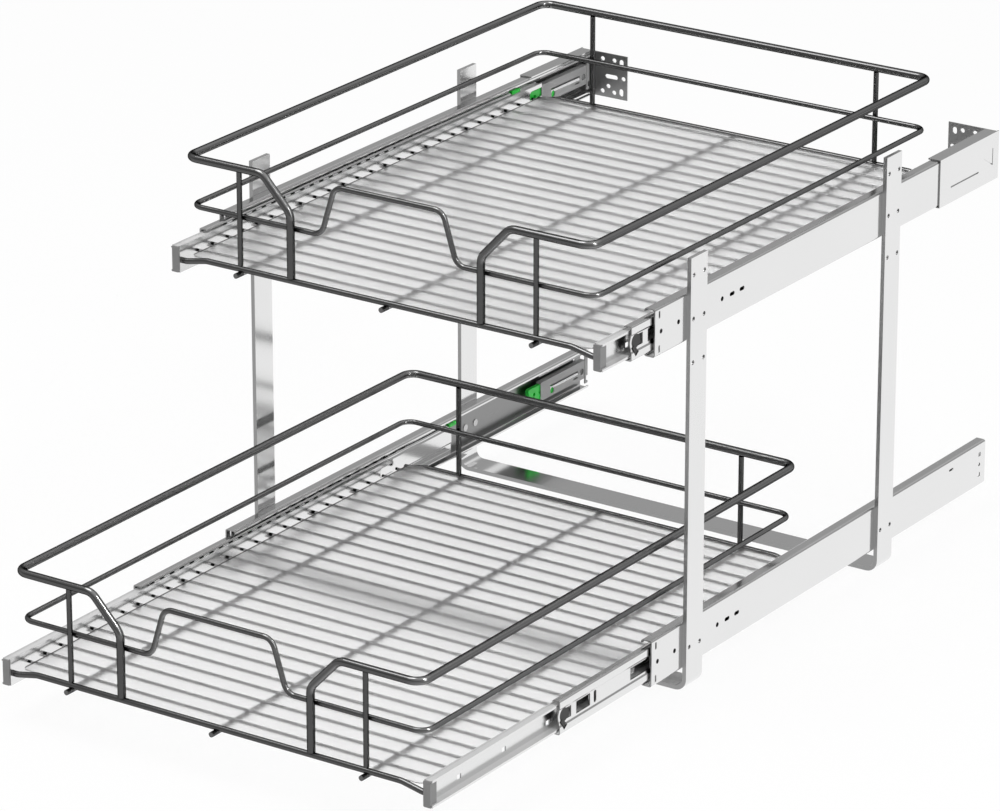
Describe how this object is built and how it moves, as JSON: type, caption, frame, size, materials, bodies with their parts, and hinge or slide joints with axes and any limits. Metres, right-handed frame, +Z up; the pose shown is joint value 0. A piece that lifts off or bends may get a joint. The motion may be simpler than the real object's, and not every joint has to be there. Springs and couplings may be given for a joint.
{
  "type": "pull out cabinet basket",
  "caption": "Two-tier pull out cabinet basket: wire baskets with a frosted floor liner ride on full-extension slides held by two bent strip frames.",
  "frame": {"origin": "under the middle of the front frame's foot, on the cabinet floor", "axes": "+X to the right seen from the front, +Y to the back of the cabinet, +Z up; the baskets come out along -Y"},
  "size_m": [0.482, 0.9419, 0.4601],
  "materials": {
    "bright_steel": "bright zinc plating",
    "dark_wire": "dark nickel plating",
    "plain_steel": "smooth",
    "grey_plastic": "satin",
    "black_plastic": "satin",
    "green_plastic": "gloss",
    "liner": "frosted"
  },
  "bodies": {
    "cabinet_frame": {"front_frame": "bright_steel", "rear_frame": "bright_steel", "upper_left_outer_rail": "bright_steel", "upper_right_outer_rail": "bright_steel", "lower_left_outer_rail": "bright_steel", "lower_right_outer_rail": "bright_steel", "rail_screws": "plain_steel", "rail_end_strips": "grey_plastic", "left_rear_bracket": "bright_steel", "right_rear_bracket": "bright_steel", "upper_left_damper_housing": "grey_plastic", "upper_right_damper_housing": "grey_plastic", "lower_left_damper_housing": "grey_plastic", "lower_right_damper_housing": "grey_plastic"},
    "upper_basket": {"upper_left_inner_rail": "bright_steel", "upper_right_inner_rail": "bright_steel", "upper_left_end_cap": "grey_plastic", "upper_right_end_cap": "grey_plastic", "upper_top_rail": "dark_wire", "upper_mid_rail": "dark_wire", "upper_posts": "dark_wire", "upper_front_base_wire": "dark_wire", "upper_rear_base_wire": "dark_wire", "upper_long_wires": "dark_wire", "upper_cross_wires": "dark_wire", "upper_liner": "liner"},
    "lower_basket": {"lower_left_inner_rail": "bright_steel", "lower_right_inner_rail": "bright_steel", "lower_left_end_cap": "grey_plastic", "lower_right_end_cap": "grey_plastic", "lower_top_rail": "dark_wire", "lower_mid_rail": "dark_wire", "lower_posts": "dark_wire", "lower_front_base_wire": "dark_wire", "lower_rear_base_wire": "dark_wire", "lower_long_wires": "dark_wire", "lower_cross_wires": "dark_wire", "lower_liner": "liner"},
    "upper_left_middle_rail": {"upper_left_middle_rail": "bright_steel"},
    "upper_left_release_lever": {"upper_left_release_lever": "black_plastic"},
    "upper_left_damper_catch": {"upper_left_damper_catch": "green_plastic"},
    "upper_right_middle_rail": {"upper_right_middle_rail": "bright_steel"},
    "upper_right_release_lever": {"upper_right_release_lever": "black_plastic"},
    "upper_right_damper_catch": {"upper_right_damper_catch": "green_plastic"},
    "upper_outer_ball_cages": {"upper_outer_ball_cages": "plain_steel", "upper_outer_balls": "plain_steel"},
    "upper_inner_ball_cages": {"upper_inner_ball_cages": "plain_steel", "upper_inner_balls": "plain_steel"},
    "lower_left_middle_rail": {"lower_left_middle_rail": "bright_steel"},
    "lower_left_release_lever": {"lower_left_release_lever": "black_plastic"},
    "lower_left_damper_catch": {"lower_left_damper_catch": "green_plastic"},
    "lower_right_middle_rail": {"lower_right_middle_rail": "bright_steel"},
    "lower_right_release_lever": {"lower_right_release_lever": "black_plastic"},
    "lower_right_damper_catch": {"lower_right_damper_catch": "green_plastic"},
    "lower_outer_ball_cages": {"lower_outer_ball_cages": "plain_steel", "lower_outer_balls": "plain_steel"},
    "lower_inner_ball_cages": {"lower_inner_ball_cages": "plain_steel", "lower_inner_balls": "plain_steel"}
  },
  "joints": [
    {"name": "upper_basket_slide", "type": "slide", "parent": "cabinet_frame", "child": "upper_basket", "axis": [0, -1, 0], "range_m": [-0.0788, 0.4812]},
    {"name": "lower_basket_slide", "type": "slide", "parent": "cabinet_frame", "child": "lower_basket", "axis": [0, -1, 0], "range_m": [-0.3371, 0.2229]},
    {"name": "upper_left_middle_rail_slide", "type": "slide", "parent": "cabinet_frame", "child": "upper_left_middle_rail", "axis": [0, -1, 0], "range_m": [-0.0336, 0.205]},
    {"name": "upper_right_middle_rail_slide", "type": "slide", "parent": "cabinet_frame", "child": "upper_right_middle_rail", "axis": [0, -1, 0], "range_m": [-0.0336, 0.205]},
    {"name": "upper_outer_cages_slide", "type": "slide", "parent": "cabinet_frame", "child": "upper_outer_ball_cages", "axis": [0, -1, 0], "range_m": [-0.0168, 0.1025]},
    {"name": "upper_inner_cages_slide", "type": "slide", "parent": "cabinet_frame", "child": "upper_inner_ball_cages", "axis": [0, -1, 0], "range_m": [-0.0379, 0.231]},
    {"name": "upper_left_release_lever_hinge", "type": "hinge", "parent": "upper_left_middle_rail", "child": "upper_left_release_lever", "pos_m": [-0.233, -0.09107, 0.3594], "axis": [1, 0, 0], "range_deg": [-6, 6]},
    {"name": "upper_left_damper_catch_slide", "type": "slide", "parent": "cabinet_frame", "child": "upper_left_damper_catch", "axis": [0, 1, 0], "range_m": [0, 0.045]},
    {"name": "upper_right_release_lever_hinge", "type": "hinge", "parent": "upper_right_middle_rail", "child": "upper_right_release_lever", "pos_m": [0.233, -0.09107, 0.3594], "axis": [1, 0, 0], "range_deg": [-6, 6]},
    {"name": "upper_right_damper_catch_slide", "type": "slide", "parent": "cabinet_frame", "child": "upper_right_damper_catch", "axis": [0, 1, 0], "range_m": [0, 0.045]},
    {"name": "lower_left_middle_rail_slide", "type": "slide", "parent": "cabinet_frame", "child": "lower_left_middle_rail", "axis": [0, -1, 0], "range_m": [-0.1437, 0.095]},
    {"name": "lower_right_middle_rail_slide", "type": "slide", "parent": "cabinet_frame", "child": "lower_right_middle_rail", "axis": [0, -1, 0], "range_m": [-0.1437, 0.095]},
    {"name": "lower_outer_cages_slide", "type": "slide", "parent": "cabinet_frame", "child": "lower_outer_ball_cages", "axis": [0, -1, 0], "range_m": [-0.0719, 0.0475]},
    {"name": "lower_inner_cages_slide", "type": "slide", "parent": "cabinet_frame", "child": "lower_inner_ball_cages", "axis": [0, -1, 0], "range_m": [-0.1619, 0.107]},
    {"name": "lower_left_release_lever_hinge", "type": "hinge", "parent": "lower_left_middle_rail", "child": "lower_left_release_lever", "pos_m": [-0.233, -0.20111, 0.0454], "axis": [1, 0, 0], "range_deg": [-6, 6]},
    {"name": "lower_left_damper_catch_slide", "type": "slide", "parent": "cabinet_frame", "child": "lower_left_damper_catch", "axis": [0, 1, 0], "range_m": [0, 0.045]},
    {"name": "lower_right_release_lever_hinge", "type": "hinge", "parent": "lower_right_middle_rail", "child": "lower_right_release_lever", "pos_m": [0.233, -0.20111, 0.0454], "axis": [1, 0, 0], "range_deg": [-6, 6]},
    {"name": "lower_right_damper_catch_slide", "type": "slide", "parent": "cabinet_frame", "child": "lower_right_damper_catch", "axis": [0, 1, 0], "range_m": [0, 0.045]}
  ],
  "couplings": [
    {"joint": "upper_left_middle_rail_slide", "follows": "upper_basket_slide", "ratio": 0.426},
    {"joint": "upper_right_middle_rail_slide", "follows": "upper_basket_slide", "ratio": 0.426},
    {"joint": "upper_outer_cages_slide", "follows": "upper_basket_slide", "ratio": 0.213},
    {"joint": "upper_inner_cages_slide", "follows": "upper_basket_slide", "ratio": 0.48},
    {"joint": "lower_left_middle_rail_slide", "follows": "lower_basket_slide", "ratio": 0.426},
    {"joint": "lower_right_middle_rail_slide", "follows": "lower_basket_slide", "ratio": 0.426},
    {"joint": "lower_outer_cages_slide", "follows": "lower_basket_slide", "ratio": 0.213},
    {"joint": "lower_inner_cages_slide", "follows": "lower_basket_slide", "ratio": 0.48}
  ]
}
